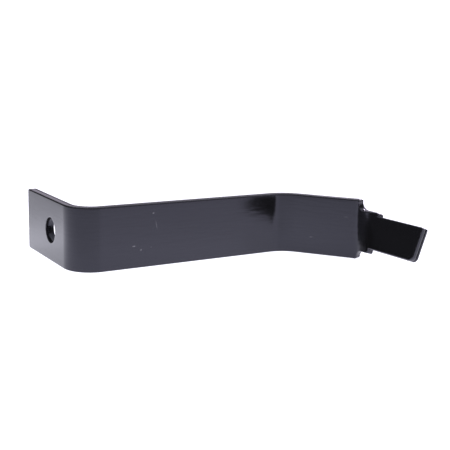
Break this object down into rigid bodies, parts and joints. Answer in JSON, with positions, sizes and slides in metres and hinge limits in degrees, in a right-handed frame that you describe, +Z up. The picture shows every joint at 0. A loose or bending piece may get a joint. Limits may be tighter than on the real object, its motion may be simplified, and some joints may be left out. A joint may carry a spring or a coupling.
{
  "type": "clutch anti-rotation bracket",
  "caption": "Flat steel bar bent into a crank, with a bolt hole in the tab at one end and a narrow, slightly twisted finger at the other that keeps a clutch housing from turning.",
  "frame": {"origin": "centre of the bounding box in plan, on the ground under the bracket's lower edge", "axes": "+X along the long leg, from the tab towards the finger; +Z up, across the width of the bar; the tab points to +Y and the finger to -Y"},
  "size_m": [0.1232, 0.111, 0.0254],
  "materials": {
    "black_enamel": "glossy black enamel over hot rolled steel bar"
  },
  "bodies": {
    "root": {"anti_rotation_bracket": "black_enamel"}
  },
  "joints": []
}
